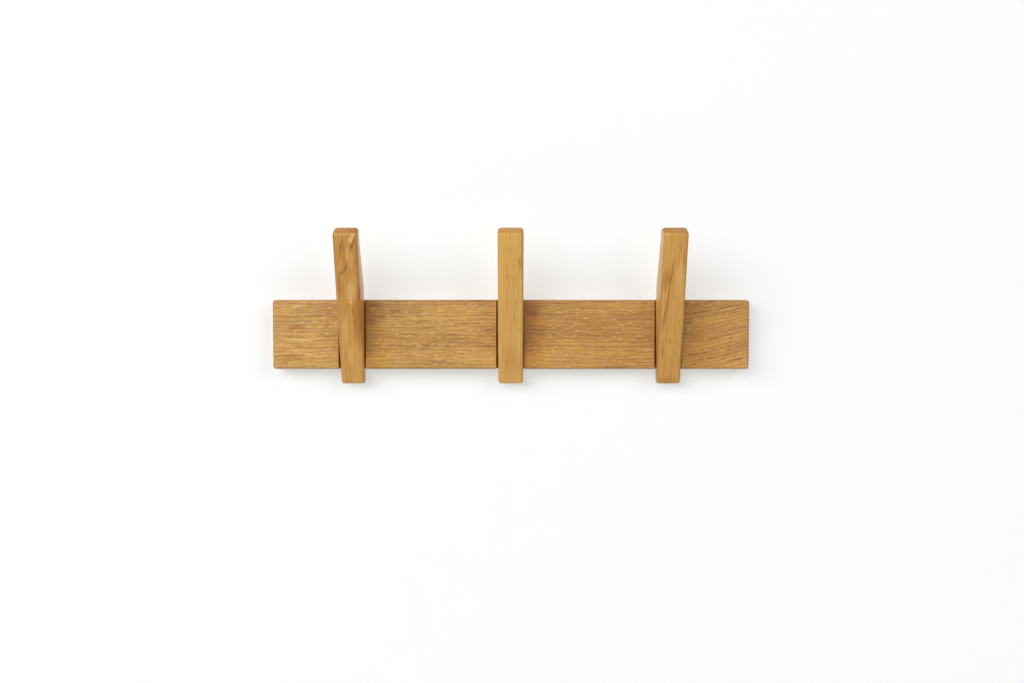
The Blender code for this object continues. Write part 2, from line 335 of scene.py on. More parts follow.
oakFinish = {
    "bandShare": 0.9,        # bands and fibre lead from the pale tone to the deep one
    "fibreShare": 0.6,
    "ringTone": (196, 165, 130),
    "lineTone": (190, 160, 135),
    "poreTone": (150, 118, 90),
    "fleckTone": (236, 198, 132),
    # darkens the rounded edges, painted shade
    "edgeShadeTone": (226, 212, 192),
    "endTone": (208, 184, 144),
    "roughness": 0.26,       # of plain oiled wood, and what each pattern adds to it
    "roughPores": 0.2,
    "roughFlecks": -0.06,
    "roughFibre": 0.08,
    "roughEnds": 0.3,
    "heightPores": -1.0,
    "heightFibre": 0.5,
    "heightRings": -0.3,
    "reliefStrength": 0.5,
    "reliefDepth": 0.0002,
}


def makeOiledOak(grain):
    group, enter, leave = startGroup(
        "oiled oak",
        [("Vector", "Vector"), ("Pale", "Color"), ("Deep", "Color"), ("Ring Width", "Float"),
         ("Wander", "Float"), ("Ring Depth", "Float"), ("Line Depth", "Float"), ("Pore Depth", "Float"),
         ("Fleck Lift", "Float")],
        [("Color", "Color"), ("Roughness", "Float"), ("Height", "Float")])
    wood = placeGroup(group, grain, {
        "Vector": enter["Vector"], "Ring Width": enter["Ring Width"], "Wander": enter["Wander"]})
    shade = calc(group, "MULTIPLY", wood["Bands"], oakFinish["bandShare"])
    shade = calc(group, "MULTIPLY_ADD", wood["Fibre"], oakFinish["fibreShare"], shade)
    shade = spread(group, shade, grainLevels["shade"])
    colour = blendColour(group, shade, enter["Pale"], enter["Deep"])
    for pattern, depth, tint, mode in (
            ("Rings", "Ring Depth", "ringTone", "MULTIPLY"),
            ("Lines", "Line Depth", "lineTone", "MULTIPLY"),
            ("Pores", "Pore Depth", "poreTone", "MULTIPLY"),
            ("Flecks", "Fleck Lift", "fleckTone", "MIX")):
        share = calc(group, "MULTIPLY", wood[pattern], enter[depth])
        colour = blendColour(group, share, colour, tone(*oakFinish[tint]), mode)
    feed(group, leave["Color"], colour)

    rough = oakFinish["roughness"]
    for pattern in ("Pores", "Flecks", "Fibre"):
        rough = calc(group, "MULTIPLY_ADD", wood[pattern], oakFinish["rough" + pattern], rough)
    feed(group, leave["Roughness"], rough)
    height = calc(group, "MULTIPLY", wood["Fibre"], oakFinish["heightFibre"])
    for pattern in ("Pores", "Rings"):
        height = calc(group, "MULTIPLY_ADD", wood[pattern], oakFinish["height" + pattern], height)
    feed(group, leave["Height"], height)
    return group


def makeSoftMark():
    # soft mask of a given half length and half width, lying along the grain; it places stains, and
    # painted shade on the rail
    group, enter, leave = startGroup(
        "soft mark",
        [("Vector", "Vector"), ("Centre", "Vector"), ("Half Size", "Vector"), ("Turn", "Float")],
        [("Mask", "Float")])
    mm = inMillimetres(group, enter["Vector"])
    ragged = addNode(group, "TexNoise")
    feed(group, ragged.inputs["Vector"], vecCalc(group, "DIVIDE", mm, grainCells["markEdge"]))
    ragged.inputs["Scale"].default_value = 1.0
    shift = vecCalc(group, "SUBTRACT", ragged.outputs["Color"], (0.5, 0.5, 0.5))
    shift = vecCalc(group, "MULTIPLY", shift, grainMake["markSway"])
    away = vecCalc(group, "SUBTRACT", vecCalc(group, "ADD", mm, shift), enter["Centre"])
    turned = addNode(group, "VectorRotate", rotation_type="Z_AXIS", invert=True)
    feed(group, turned.inputs["Vector"], away)
    feed(group, turned.inputs["Angle"], enter["Turn"])
    share = vecCalc(group, "DIVIDE", turned.outputs[0], enter["Half Size"])
    flat = vecCalc(group, "MULTIPLY", share, (1, 1, 0))
    reach = vecCalc(group, "LENGTH", flat)
    feed(group, leave["Mask"], calc(group, "SUBTRACT", 1.0, spread(group, reach, grainLevels["mark"])))
    return group


def makeEdgeShade():
    # 1 where a rounded edge turns from one face to the next; Square also finds the edges along x; the
    # material darkens it there with painted shade
    group, enter, leave = startGroup(
        "painted edge shade", [("Normal", "Vector"), ("Square", "Float")], [("Mask", "Float")])
    nx, ny, nz = splitVec(group, vecCalc(group, "ABSOLUTE", enter["Normal"]))
    around = calc(group, "SQRT", calc(group, "MULTIPLY_ADD", ny, ny, calc(group, "MULTIPLY", nz, nz)))
    boxed = calc(group, "MAXIMUM", ny, nz)
    turn = calc(group, "SUBTRACT", boxed, around)
    flat = calc(group, "MULTIPLY_ADD", turn, enter["Square"], around)
    facing = calc(group, "MAXIMUM", nx, flat)
    feed(group, leave["Mask"], spread(group, calc(group, "SUBTRACT", 1.0, facing), grainLevels["rim"]))
    return group


def makeEndGrain():
    group, enter, leave = startGroup(
        "end grain", [("Normal", "Vector"), ("Grain", "Vector")], [("Mask", "Float")])
    facing = calc(group, "ABSOLUTE", vecCalc(group, "DOT_PRODUCT", enter["Normal"], enter["Grain"]))
    feed(group, leave["Mask"], spread(group, facing, grainLevels["end"]))
    return group


paintedSlotShade = {
    "tone": (218, 136, 50),  # painted shade and bounce light: light between two oak faces turns redder
    "share": 0.8,
    "room": 0.0025,          # beside a peg, wider than any housing
    "endFade": (0.002, 0.007),  # inwards from the rail's top and bottom
    "frontFade": (0.0002, 0.0025),  # inwards from the rail's face
}


def makeHousingShade():
    # 1 on the sawn faces deep in the housings, where light comes only by way of other oak; the tone
    # there is painted shade and reddish bounce light
    group, enter, leave = startGroup(
        "housing shade", [("Vector", "Vector"), ("Pitch", "Float"), ("Half Width", "Float"),
                          ("Front", "Float"), ("Back", "Float"), ("Half Height", "Float")],
        [("Mask", "Float")])
    x, y, z = splitVec(group, enter["Vector"])
    halfPitch = calc(group, "MULTIPLY", enter["Pitch"], 0.5)
    nearest = calc(group, "WRAP", x, halfPitch, calc(group, "MULTIPLY", halfPitch, -1.0))
    beside = calc(group, "LESS_THAN", calc(group, "ABSOLUTE", nearest), enter["Half Width"])
    over = calc(group, "SUBTRACT", enter["Half Height"], calc(group, "ABSOLUTE", z))
    within = calc(group, "MULTIPLY", spread(group, over, paintedSlotShade["endFade"]),
                  calc(group, "LESS_THAN", y, enter["Back"]))
    inside = spread(group, calc(group, "SUBTRACT", y, enter["Front"]), paintedSlotShade["frontFade"])
    feed(group, leave["Mask"], calc(group, "MULTIPLY", inside, calc(group, "MULTIPLY", beside, within)))
    return group


oakGrain = makeOakGrain()
oiledOak = makeOiledOak(oakGrain)
softMark = makeSoftMark()
edgeShade = makeEdgeShade()
endGrain = makeEndGrain()
housingShade = makeHousingShade()
print("grain groups ready")

stainsAndPaintedShade = {
    "dark": ((176, 130, 84), "MULTIPLY"),
    "rust": ((214, 162, 108), "MULTIPLY"),
    "ochre": ((220, 179, 111), "MULTIPLY"),
    "olive": ((205, 172, 108), "MULTIPLY"),
    # painted shade, warmer and darker, laid beside the pegs
    "painted shade": ((249, 243, 167), "MULTIPLY"),
    "pale": ((228, 184, 112), "MIX"),
    "amber": ((206, 148, 84), "MIX"),
}

pegCentres = [(low.x + high.x) / 2 for low, high in (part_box("peg_" + side) for side in pegSides)]
pegPitch = pegCentres[1] - pegCentres[0]
midLow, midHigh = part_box("peg_centre")
housingHalf = (midHigh.x - midLow.x) / 2 + paintedSlotShade["room"]
housingFloor = midHigh.y + 2 * fit["seatGap"]


def oakMaterial(name, look):
    material, tree, shader, coords = startMaterial(name)
    board = addNode(tree, "Mapping", vector_type="TEXTURE")
    feed(tree, board.inputs["Vector"], coords.outputs["Object"])
    board.inputs["Location"].default_value = look["origin"]
    board.inputs["Rotation"].default_value = look["turn"]
    x, y, z = splitVec(tree, board.outputs[0])
    pastBend = calc(tree, "MAXIMUM", calc(tree, "SUBTRACT", x, look["bendStart"]), 0.0)
    climb = calc(tree, "MULTIPLY", calc(tree, "MULTIPLY", pastBend, pastBend), -look["bend"])
    bent = joinVec(tree, x, calc(tree, "ADD", y, climb), z)
    fromPith = vecCalc(tree, "SUBTRACT", bent, look["pith"])
    oak = placeGroup(tree, oiledOak, {
        "Vector": fromPith,
        "Pale": tone(*look["pale"]), "Deep": tone(*look["deep"]),
        "Ring Width": look["ringWidth"], "Wander": look["wander"],
        "Ring Depth": look["ringDepth"], "Line Depth": look["lineDepth"],
        "Pore Depth": look["poreDepth"], "Fleck Lift": look["fleckLift"]})

    colour = oak["Color"]
    # marks are stains in the wood, and on the rail also painted shade beside the pegs
    for kind, along, across, halfLength, halfWidth, turn, depth in look["marks"]:
        mask = placeGroup(tree, softMark, {
            "Vector": board.outputs[0], "Centre": (along, across, 0),
            "Half Size": (halfLength, halfWidth, 1), "Turn": math.radians(turn)})["Mask"]
        tint, mode = stainsAndPaintedShade[kind]
        colour = blendColour(tree, calc(tree, "MULTIPLY", mask, depth), colour, tone(*tint), mode)

    # painted shade and reddish bounce light on the faces inside the housings
    slotShadeMask = placeGroup(tree, housingShade, {
        "Vector": coords.outputs["Object"], "Pitch": pegPitch, "Half Width": housingHalf,
        "Front": railLow.y, "Back": housingFloor, "Half Height": railHigh.z})["Mask"]
    colour = blendColour(tree, calc(tree, "MULTIPLY", slotShadeMask, paintedSlotShade["share"]), colour,
                         tone(*paintedSlotShade["tone"]))

    normal = coords.outputs["Normal"]
    # painted shade along the rounded edges
    rim = placeGroup(tree, edgeShade, {"Normal": normal, "Square": look["square"]})["Mask"]
    colour = blendColour(tree, calc(tree, "MULTIPLY", rim, look["edgeShadeDepth"]), colour,
                         tone(*oakFinish["edgeShadeTone"]), "MULTIPLY")
    end = placeGroup(tree, endGrain, {"Normal": normal, "Grain": look["grain"]})["Mask"]
    colour = blendColour(tree, calc(tree, "MULTIPLY", end, look["endDepth"]), colour,
                         tone(*oakFinish["endTone"]), "MULTIPLY")
    feed(tree, shader.inputs["Base Color"], colour)
    rough = calc(tree, "MULTIPLY_ADD", end, oakFinish["roughEnds"], oak["Roughness"])
    feed(tree, shader.inputs["Roughness"], rough)
    addRelief(tree, shader, oak["Height"], oakFinish["reliefStrength"], oakFinish["reliefDepth"])
    return material


# screws: countersunk heads with a cross recess, threads as one running helix

screwMake = {
    "pegShank": 0.0040,
    "plateShank": 0.0035,
    "rim": 0.0003,           # upright rim round the head
    "pitch": 0.0018,
    "threadDepth": 0.0005,
    "point": 0.003,
    "sides": 32,
    "recessSpan": 0.0044,
    "recessWidth": 0.0011,
    "recessDepth": 0.0015,
    "recessTaper": 0.55,     # how much of the recess is left at its floor
    "ringReach": 1.2,        # pitches, within which open edges belong to one ring
}


def screwPlace(node):
    low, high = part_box(node)
    return (low + high) / 2, (high.x - low.x) / 2, high.y, high.y - low.y


def screwHole(node, shank):
    # the room round a screw, open towards its head
    centre, headRadius, headY, length = screwPlace(node)
    gap = fit["seatGap"]
    mouth = headRadius + gap
    outer = shank / 2 + gap
    rim = screwMake["rim"] + gap
    outside = headY + fit["overshoot"]
    bottom = headY - length - gap
    cone = headY - rim
    points = [(0, outside), (mouth, outside), (mouth, cone), (outer, cone - (mouth - outer)),
              (outer, bottom), (0, bottom)]
    return settleMesh(turnProfile(points, screwMake["sides"], centre), "room_" + node)


def openEdges(bm, nearY):
    # the open ring that lies nearest to that depth
    loose = [edge for edge in bm.edges if edge.is_boundary]
    levels = [abs((edge.verts[0].co.y + edge.verts[1].co.y) / 2 - nearY) for edge in loose]
    reach = screwMake["ringReach"] * screwMake["pitch"]
    return [edge for edge, level in zip(loose, levels) if level < reach]


def growRing(bm, edges, radius, y):
    # extrudes an open ring and sets it to a circle
    grown = bmesh.ops.extrude_edge_only(bm, edges=edges)["geom"]
    ring = [part for part in grown if isinstance(part, bmesh.types.BMVert)]
    for vert in ring:
        spoke = Vector((vert.co.x, 0, vert.co.z)).normalized() * radius
        vert.co = spoke + Vector((0, y, 0))
    bmesh.ops.remove_doubles(bm, verts=ring, dist=fit["weld"])
    return openEdges(bm, y)


def makeScrew(node, shank):
    centre, headRadius, headY, length = screwPlace(node)
    core = shank / 2 - screwMake["threadDepth"]
    pitch = screwMake["pitch"]
    sides = screwMake["sides"]
    neck = screwMake["rim"] + headRadius - core
    turns = int((length - screwMake["point"] - neck) / pitch)
    threadEnd = length - screwMake["point"]
    threadStart = threadEnd - turns * pitch

    bm = bmesh.new()
    verts = []
    for half in range(2 * turns - 1):       # the last turn comes from the helix itself
        radius = shank / 2 if half % 2 else core
        verts.append(bm.verts.new((radius, -threadStart - half * pitch / 2, 0)))
    edges = [bm.edges.new(pair) for pair in zip(verts, verts[1:])]
    bmesh.ops.spin(bm, geom=verts + edges, cent=(0, 0, 0), axis=(0, 1, 0), angle=math.tau, steps=sides,
                   dvec=(0, -pitch / sides, 0), use_merge=False)
    bmesh.ops.remove_doubles(bm, verts=bm.verts, dist=fit["weld"])

    ring = growRing(bm, openEdges(bm, -threadStart - pitch / 2), core, -neck)
    ring = growRing(bm, ring, headRadius, -screwMake["rim"])
    ring = growRing(bm, ring, headRadius, 0)
    bmesh.ops.contextual_create(bm, geom=ring)
    tail = [edge for edge in bm.edges if edge.is_boundary]
    tail = bmesh.ops.extrude_edge_only(bm, edges=tail)["geom"]
    tip = [part for part in tail if isinstance(part, bmesh.types.BMVert)]
    bmesh.ops.pointmerge(bm, verts=tip, merge_co=(0, -length, 0))
    bmesh.ops.translate(bm, vec=(centre.x, headY, centre.z), verts=bm.verts)
    screw = settleMesh(bm, "steel_" + node)

    bars = []
    for span, width in (("recessSpan", "recessWidth"), ("recessWidth", "recessSpan")):
        half = Vector((screwMake[span] / 2, screwMake["recessDepth"], screwMake[width] / 2))
        middle = Vector((centre.x, headY, centre.z))
        bar = blockBetween(middle - half, middle + half)
        floor = [vert for vert in bar.verts if vert.co.y < headY]
        taper = screwMake["recessTaper"]
        bmesh.ops.scale(bar, vec=(taper, 1, taper), verts=floor, space=Matrix.Translation(-middle))
        bars.append(settleMesh(bar, "recess_" + span))
    carve(screw, bars)
    for bar in bars:
        bpy.data.objects.remove(bar)
    return screw


screwNodes = {}             # node name to shank diameter
for side in pegSides:
    for level in screwLevels:
        screwNodes[f"peg_screw_{side}_{level}"] = screwMake["pegShank"]
for side in plateSides:
    for level in screwLevels:
        screwNodes[f"hanger_screw_{side}_{level}"] = screwMake["plateShank"]
screwRooms = {node: screwHole(node, shank) for node, shank in screwNodes.items()}


# pegs

pegShape = {
    "lean": 22.0,            # degrees of the front face from upright
    "frontStep": 0.0015,     # front proud of the rail, at the rail's bottom edge
    "rise": 0.0723,          # corner of the tip above the rail, before it is rounded
    "tipThick": 0.0165,
    "lipLength": 0.014,
    "throatSetout": 0.001,   # root of the throat in front of the rail's face
    "throatRoot": 0.013,     # height of that root above the rail
    "footRound": 0.0034,
    "tipRound": 0.0042,
    "tipDraw": 0.0010,       # how much the end is rubbed in at each side
    "lipRound": 0.020,
    "throatRound": 0.025,
    "shoulderRound": 0.003,
    "mostShare": 0.45,       # most of a straight stretch that one corner may take
    "rimRound": 0.0029,
    "rimSteps": 6,
    "planedDepth": 0.018,    # behind the front, where a side reaches its planed width
    "cornerSteps": 6,
    "lipSteps": 8,
    "throatSteps": 12,
}
pegLean = math.radians(pegShape["lean"])

# how far each side stands to the right of square, at the front and behind: left side, then right side
handPlaned = {
    "left": ((-0.00035, 0.0), (-0.0012, -0.0008)),
    "centre": ((-0.0004, -0.0004), (0.0, 0.0003)),
    "right": ((0.0009, -0.0009), (0.0, 0.0)),
}


def pegFront(z):
    # y of the leaning front face
    return railLow.y - pegShape["frontStep"] - math.tan(pegLean) * (z - railLow.z)


def pegCorners(low, high):
    # (place, radius, steps) round the side view, from the foot's back corner
    upFront = Vector((0, -math.sin(pegLean), math.cos(pegLean)))
    inward = Vector((0, math.cos(pegLean), math.sin(pegLean)))
    steps = pegShape["cornerSteps"]
    rootY = railLow.y - pegShape["throatSetout"]
    rootZ = railHigh.z + pegShape["throatRoot"]

    def front(z):
        return Vector((low.x, pegFront(z), z))

    tipFront = front(railHigh.z + pegShape["rise"] - pegShape["tipThick"] * math.sin(pegLean))
    tipBack = tipFront + pegShape["tipThick"] * inward
    lipEnd = tipBack - pegShape["lipLength"] * upFront
    return [
        (Vector((low.x, high.y, low.z)), pegShape["footRound"], steps),
        (front(low.z), pegShape["footRound"], steps),
        (tipFront, pegShape["tipRound"], steps),
        (tipBack, pegShape["tipRound"], steps),
        (lipEnd, pegShape["lipRound"], pegShape["lipSteps"]),
        (Vector((low.x, rootY, rootZ)), pegShape["throatRound"], pegShape["throatSteps"]),
        (Vector((low.x, rootY, railHigh.z)), pegShape["shoulderRound"], steps),
        (Vector((low.x, high.y, railHigh.z)), pegShape["shoulderRound"], steps),
    ]


def softenTip(bm, middle, corners):
    # draws the sides in towards the end, as sanding by hand does
    tipFront, tipBack = corners[2][0], corners[3][0]
    acrossEnd = (tipBack - tipFront).normalized()
    reach = pegShape["tipRound"]
    for vert in bm.verts:
        offset = vert.co - tipFront
        offset.x = 0
        below = (offset - offset.project(acrossEnd)).length
        if below < reach and offset.length < pegShape["tipThick"] + reach:
            draw = pegShape["tipDraw"] * (1 - below / reach) ** 2
            vert.co.x -= math.copysign(draw, vert.co.x - middle)


def planeSides(bm, middle, planed):
    for vert in bm.verts:
        front, behind = planed[0] if vert.co.x < middle else planed[1]
        share = (vert.co.y - pegFront(vert.co.z)) / pegShape["planedDepth"]
        share = min(max(share, 0), 1)
        vert.co.x += front + (behind - front) * share


def makePeg(side):
    low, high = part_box("peg_" + side)
    middle = (low.x + high.x) / 2
    corners = pegCorners(low, high)
    bm = bmesh.new()
    verts = [bm.verts.new(place) for place, radius, steps in corners]
    bm.faces.new(verts)
    for index, (place, radius, steps) in enumerate(corners):
        before = corners[index - 1][0] - place
        after = corners[(index + 1) % len(corners)][0] - place
        most = pegShape["mostShare"] * min(before.length, after.length)
        reach = min(radius / math.tan(before.angle(after) / 2), most)
        bmesh.ops.bevel(bm, geom=[verts[index]], offset=reach, offset_type="OFFSET", segments=steps,
                        profile=0.5, affect="VERTICES", material=-1)
    grown = bmesh.ops.extrude_face_region(bm, geom=bm.faces[:])["geom"]
    farSide = [part for part in grown if isinstance(part, bmesh.types.BMVert)]
    bmesh.ops.translate(bm, vec=(high.x - low.x, 0, 0), verts=farSide)
    rim = [edge for edge in bm.edges if abs(edge.verts[0].co.x - edge.verts[1].co.x) < fit["weld"]]
    bmesh.ops.bevel(bm, geom=rim, offset=pegShape["rimRound"], offset_type="OFFSET",
                    segments=pegShape["rimSteps"], profile=0.5, affect="EDGES", material=-1)
    softenTip(bm, middle, corners)
    planeSides(bm, middle, handPlaned[side])
    peg = settleMesh(bm, "oak_peg_" + side)
    carve(peg, [screwRooms[f"peg_screw_{side}_{level}"] for level in screwLevels])
    return peg


# each peg is sawn from its own place in the board
# marks, in millimetres: kind, up the front, across it, half length, half width, turn in degrees, depth

pegGrain = Vector((0, -math.sin(pegLean), math.cos(pegLean)))
pegAcross = Vector((1, 0, 0))
pegTurn = Matrix((pegGrain, pegAcross, pegGrain.cross(pegAcross))).transposed().to_euler()

pegLooks = {
    "left": {
        "pale": (212, 162, 77), "deep": (192, 137, 58), "pith": (0.010, 0.090, 0.055),
        "ringWidth": 3.8, "wander": 14.0, "ringDepth": 0.3, "lineDepth": 0.25, "poreDepth": 0.4,
        "fleckLift": 0.10,
        "marks": [
            ("ochre", 86, -2, 20, 18, 0, 0.27),
            ("pale", 102.5, 5.8, 8.5, 2.8, 28, 0.75),
            ("pale", 88, 1.2, 13, 2.6, 10, 0.55),
            ("dark", 93.5, -4.9, 13, 2.2, 12, 0.5),
            ("dark", 96.5, 6.4, 10.5, 2.5, 30, 0.5),
            ("pale", 80, 4.2, 13, 4.2, 6, 0.35),
            ("amber", 76, -6.4, 10, 2.4, 8, 0.5),
            ("dark", 72.6, -1.4, 6, 1.8, 20, 0.6),
            ("dark", 68, -4.4, 9, 2.4, 38, 0.45),
            ("olive", 54, -8.3, 17, 2.6, 0, 0.6),
            ("pale", 47, 2.5, 17, 7, 0, 0.45),
            ("ochre", 16, 7.0, 40, 6.4, 0, 0.8),
            ("dark", 45, 9.8, 12, 2.4, 0, 0.6),
            ("olive", 27, 2.8, 11, 1.3, 0, 0.55),
            ("pale", 36.1, 1.6, 3.6, 1.1, 0, 0.7),
            ("pale", 3, -5.4, 26, 3.8, 0, 0.35),
            ("pale", -22, -1.8, 15, 4.6, 0, 0.35),
            ("amber", -45, -1, 9, 10, 0, 0.4),
        ],
    },
    "centre": {
        "pale": (222, 178, 93), "deep": (206, 156, 75), "pith": (0.300, 0.070, 0.060),
        "ringWidth": 2.6, "wander": 4.0, "ringDepth": 0.25, "lineDepth": 0.20, "poreDepth": 0.4,
        "fleckLift": 0.10,
        "marks": [
            ("olive", 104.5, -0.7, 4.5, 1.2, 0, 0.5),
            ("olive", 76.2, 8.6, 9, 2.2, 0, 0.6),
            ("olive", 63.1, -3.2, 5, 1.3, 0, 0.55),
            ("pale", 46, 4.6, 11, 1.5, 0, 0.4),
            ("olive", 19.6, 3.0, 5, 1.2, 0, 0.55),
            ("olive", 5.9, 9.4, 6, 1.4, 0, 0.5),
            ("dark", -16.1, -7.4, 10, 1.2, 0, 0.3),
            ("pale", -40.4, 2.9, 11, 1.7, 14, 0.35),
            ("rust", -30, 0, 24, 12, 0, 0.35),
        ],
    },
    "right": {
        "pale": (211, 162, 78), "deep": (190, 137, 59), "pith": (-0.250, -0.065, 0.050),
        "ringWidth": 3.2, "wander": 8.0, "ringDepth": 0.25, "lineDepth": 0.25, "poreDepth": 0.4,
        "fleckLift": 0.10,
        "marks": [
            ("dark", 66.6, -2.2, 24, 2.0, 4, 0.6),
            ("dark", 29, -5.6, 30, 2.4, 7, 0.65),
            ("ochre", 60, -6.8, 15, 5.0, 4, 0.7),
            ("pale", 62, 5.4, 26, 4.6, 3, 0.35),
            ("rust", 82, 8.6, 18, 1.2, 0, 0.6),
            ("dark", 93.7, 5.6, 3, 0.9, 0, 0.5),
            ("olive", -14, -7.2, 12, 2.2, 0, 0.5),
            ("olive", -6.7, 0, 8, 1.8, 0, 0.5),
            ("amber", -40, -8.2, 9, 2.4, 0, 0.5),
            ("amber", -38, 6.8, 10, 2.4, 0, 0.45),
            ("olive", -50, -0.5, 5, 12, 0, 0.45),
        ],
    },
}

for side, look in pegLooks.items():
    pegLow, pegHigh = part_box("peg_" + side)
    look.update({
        "origin": ((pegLow.x + pegHigh.x) / 2, pegFront(0), 0), "turn": pegTurn, "grain": pegGrain,
        "bendStart": 0.0, "bend": 0.0, "square": 0.0, "edgeShadeDepth": 0.6, "endDepth": 0.65})
    peg = makePeg(side)
    hangOnFrame(peg, "peg_" + side, oakMaterial("oiled oak peg " + side, look))
print("pegs shaped")


# keyhole plates

plateMake = {
    "entryDiameter": 0.0095,
    "slotWidth": 0.0048,
    "travel": 0.009,         # middle of the entry to the top of the slot
    "edge": 0.00025,
    "edgeSteps": 2,
    "headRoom": 0.005,       # behind the plate, for the head of a wall screw
    "headMargin": 0.0005,
}


def makePlate(side):
    low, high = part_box("hanger_plate_" + side)
    x = (low.x + high.x) / 2
    radius = (high.x - low.x) / 2
    over = fit["overshoot"]
    entryZ = -plateMake["travel"] / 2
    seatZ = plateMake["travel"] / 2
    plate = settleMesh(capsuleBetween(x, radius, low.z + radius, high.z - radius, low.y, high.y),
                       "steel_plate_" + side)
    front, back = low.y - over, high.y + over
    entry = capsuleBetween(x, plateMake["entryDiameter"] / 2, entryZ, entryZ, front, back)
    slot = capsuleBetween(x, plateMake["slotWidth"] / 2, entryZ, seatZ, front, back)
    keyhole = [settleMesh(entry, "keyhole_entry"), settleMesh(slot, "keyhole_slot")]
    carve(plate, keyhole + [screwRooms[f"hanger_screw_{side}_{level}"] for level in screwLevels])
    breakEdges(plate, plateMake["edge"], plateMake["edgeSteps"])
    for cutter in keyhole:
        bpy.data.objects.remove(cutter)
    return plate


# rail

railMake = {
    "cornerRound": 0.0030,   # seen from the front
    "edgeRound": 0.0028,     # long edges and ends, rubbed round
    "edgeSteps": 6,
    "sideGaps": {            # open lines to the left and right of each peg, fitted by hand
        "left": (0.0023, 0.0010),
        "centre": (0.0019, 0.0006),
        "right": (0.0010, 0.0004),
    },
    "cutEdge": 0.00035,      # edges of the housings, broken with sandpaper
    "cutSteps": 2,
}


def railCutters():
    over = fit["overshoot"]
    gap = fit["seatGap"]
    cutters = []
    for side in pegSides:
        low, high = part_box("peg_" + side)
        leftRoom, rightRoom = railMake["sideGaps"][side]
        leftSide, rightSide = low.x + handPlaned[side][0][1], high.x + handPlaned[side][1][1]
        housingLow = Vector((leftSide - leftRoom, railLow.y - over, railLow.z - over))
        housingHigh = Vector((rightSide + rightRoom, high.y + gap, railHigh.z + over))
        cutters.append(settleMesh(blockBetween(housingLow, housingHigh), "housing_" + side))
    for side in plateSides:
        low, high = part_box("hanger_plate_" + side)
        x = (low.x + high.x) / 2
        radius = (high.x - low.x) / 2
        bed = capsuleBetween(x, radius + gap, low.z + radius, high.z - radius, low.y - gap, over)
        pocketRadius = plateMake["entryDiameter"] / 2 + plateMake["headMargin"]
        half = plateMake["travel"] / 2
        pocket = capsuleBetween(x, pocketRadius, -half, half, low.y - plateMake["headRoom"], over)
        cutters += [settleMesh(bed, "bed_" + side), settleMesh(pocket, "pocket_" + side)]
    return cutters


def makeRail():
    bm = blockBetween(railLow, railHigh)
    corners = [edge for edge in bm.edges if abs(edge.verts[0].co.y - edge.verts[1].co.y) > fit["weld"]]
    bmesh.ops.bevel(bm, geom=corners, offset=railMake["cornerRound"], offset_type="OFFSET",
                    segments=railMake["edgeSteps"], profile=0.5, affect="EDGES", material=-1)
    rims = [edge for edge in bm.edges if abs(edge.verts[0].co.y - edge.verts[1].co.y) < fit["weld"]]
    bmesh.ops.bevel(bm, geom=rims, offset=railMake["edgeRound"], offset_type="OFFSET",
                    segments=railMake["edgeSteps"], profile=0.5, affect="EDGES", material=-1)
    rail = settleMesh(bm, "oak_rail")
    cutters = railCutters()
    carve(rail, cutters + list(screwRooms.values()))
    for cutter in cutters:
        bpy.data.objects.remove(cutter)
    breakEdges(rail, railMake["cutEdge"], railMake["cutSteps"])
    return rail


railLook = {
    "pale": (206, 160, 81), "deep": (177, 129, 60), "pith": (0.0, -0.110, -0.075),
    "origin": (0, 0, 0), "turn": (math.pi / 2, 0, 0), "grain": (1, 0, 0),
    "bendStart": 0.13, "bend": 1.3,          # where the grain starts to climb, and how fast
    "ringWidth": 2.8, "wander": 9.0, "ringDepth": 0.55, "lineDepth": 0.6, "poreDepth": 0.65,
    "fleckLift": 0.5, "square": 1.0, "edgeShadeDepth": 0.5, "endDepth": 0.6,
    "marks": [                       # kind, along, up, half length, half width, turn, depth
        ("rust", 150, 0, 190, 90, 0, 0.2),
        # painted shade: the next six marks darken and warm the rail's face to the right of each peg,
        # where the pegs shade it
        ("rust", -146, 0, 22, 90, 0, 0.4),
        ("rust", 13.5, 0, 28, 90, 0, 0.5),
        ("painted shade", -144, 0, 32, 90, 0, 0.75),
        ("painted shade", 15, 0, 32, 90, 0, 0.8),
        ("painted shade", 174, 0, 32, 90, 0, 0.65),
        ("ochre", 178, 0, 24, 90, 0, 0.15),
        ("dark", -182.7, 21.4, 3.6, 0.9, 0, 0.7),
        ("pale", -188, 17.3, 7, 1.1, 10, 0.65),
        ("pale", -217, 28.4, 17, 1.6, 11, 0.5),
        ("pale", -214, -5.4, 24, 2.0, 0, 0.45),
        ("rust", -217, 7, 12, 4, 0, 0.45),
        ("olive", -220, -24, 16, 5, 0, 0.35),
        ("dark", -125, -2.4, 24, 1.1, 0, 0.65),
        ("rust", -141, 12.7, 6, 5.5, 0, 0.6),
        ("dark", -138, 29.3, 9, 2.6, 0, 0.5),
        ("rust", 22, 21, 8, 6, 0, 0.6),
        ("dark", 20, -16.4, 7, 1.2, 0, 0.6),
        ("pale", 67.8, 3.7, 5, 0.9, 10, 0.6),
        ("dark", 178, 11.5, 6, 1.8, 0, 0.6),
        ("dark", 196, -7.3, 10, 1.1, 4, 0.5),
        ("dark", 182, -20, 10, 1.1, 2, 0.55),
    ],
}
rail = makeRail()
hangOnFrame(rail, "rail", oakMaterial("oiled oak rail", railLook))
print("rail cut")


# zinc plated steel

zincMake = {
    "cloud": (3.0, 3.0, 3.0),        # millimetres
    "scratch": (4.0, 4.0, 0.12),
    "cloudLevels": (0.35, 0.7),
    "roughness": 0.2,
    "roughCloud": 0.25,
    "roughScratch": 0.15,
    "reliefStrength": 0.3,
    "reliefDepth": 0.00002,
    "screwTones": ((214, 210, 198), (176, 172, 160)),
    "plateTones": ((202, 204, 206), (160, 164, 168)),
}


